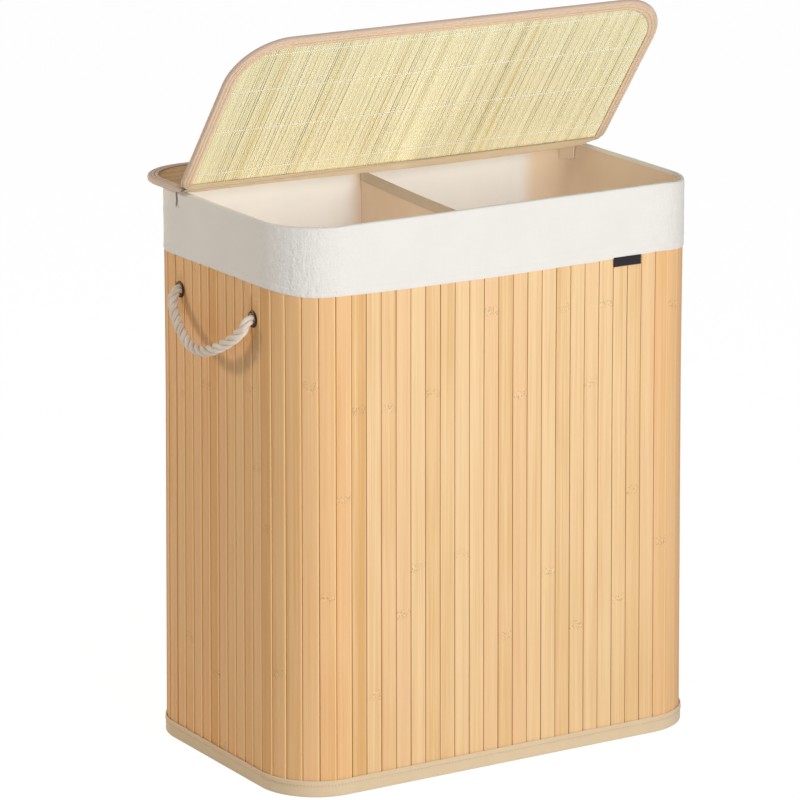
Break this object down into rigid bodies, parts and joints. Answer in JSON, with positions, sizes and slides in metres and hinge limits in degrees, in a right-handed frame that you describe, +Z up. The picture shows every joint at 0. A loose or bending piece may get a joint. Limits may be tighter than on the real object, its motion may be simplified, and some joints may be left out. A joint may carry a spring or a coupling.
{
  "type": "laundry hamper",
  "caption": "Tall laundry hamper with rounded corners: bamboo slat walls, cloth liner split into bins, folding lid and rope handles.",
  "frame": {"origin": "middle of the base, on the floor", "axes": "+X along the long side to the right, +Y to the rear, +Z up; the lid's free edge opens towards -Y"},
  "size_m": [0.5768, 0.3384, 0.8066],
  "materials": {
    "bamboo": "satin clear-coated bamboo with long grain",
    "reed": "matt pale bamboo reed",
    "linen": "off-white linen weave",
    "liner_cloth": "cream cotton",
    "binding": "tan cotton twill tape",
    "tape_cloth": "beige cotton tape",
    "board": "plain fibreboard",
    "steel": "bright zinc-plated steel",
    "bronze": "dark bronze plating",
    "cotton_rope": "natural twisted cotton",
    "black_tape": "plain black woven tape, blank"
  },
  "bodies": {
    "hamper": {"wall_front": "bamboo", "wall_rear": "bamboo", "wall_left": "bamboo", "wall_right": "bamboo", "wall_corner_front_left": "bamboo", "wall_corner_front_right": "bamboo", "wall_corner_rear_left": "bamboo", "wall_corner_rear_right": "bamboo", "bottom_tape": "tape_cloth", "base_cloth": "linen", "base_board": "board", "cuff": "linen", "liner": "liner_cloth", "divider": "liner_cloth", "divider_hem": "binding", "liner_tab_left": "binding", "liner_tab_right": "binding", "support_frame_left": "steel", "support_frame_right": "steel", "eyelet_left_front": "bronze", "eyelet_left_rear": "bronze", "eyelet_right_front": "bronze", "eyelet_right_rear": "bronze", "eyelet_washer_left_front": "steel", "eyelet_washer_left_rear": "steel", "eyelet_washer_right_front": "steel", "eyelet_washer_right_rear": "steel", "rope_end_left_front": "cotton_rope", "rope_end_left_rear": "cotton_rope", "rope_end_right_front": "cotton_rope", "rope_end_right_rear": "cotton_rope", "lid_rear_slats": "bamboo", "lid_rear_board": "board", "lid_rear_reed_mat": "reed", "lid_rear_binding": "binding", "lid_rear_fold_tape": "binding", "lid_tie_left": "binding", "lid_tie_right": "binding", "blank_tag": "black_tape"},
    "lid": {"lid_front_slats": "bamboo", "lid_front_board": "board", "lid_front_reed_mat": "reed", "lid_front_binding": "binding", "lid_front_fold_tape": "binding"},
    "handle_left": {"handle_rope_left": "cotton_rope"},
    "handle_right": {"handle_rope_right": "cotton_rope"}
  },
  "joints": [
    {"name": "lid_fold", "type": "hinge", "parent": "hamper", "child": "lid", "pos_m": [0, 0.06333, 0.6272], "axis": [-1, 0, 0], "range_deg": [-53, 107]},
    {"name": "handle_left_swing", "type": "hinge", "parent": "hamper", "child": "handle_left", "pos_m": [-0.2666, 0, 0.5115], "axis": [0, 1, 0], "range_deg": [-18, 140]},
    {"name": "handle_right_swing", "type": "hinge", "parent": "hamper", "child": "handle_right", "pos_m": [0.2666, 0, 0.5115], "axis": [0, -1, 0], "range_deg": [-18, 140]}
  ]
}
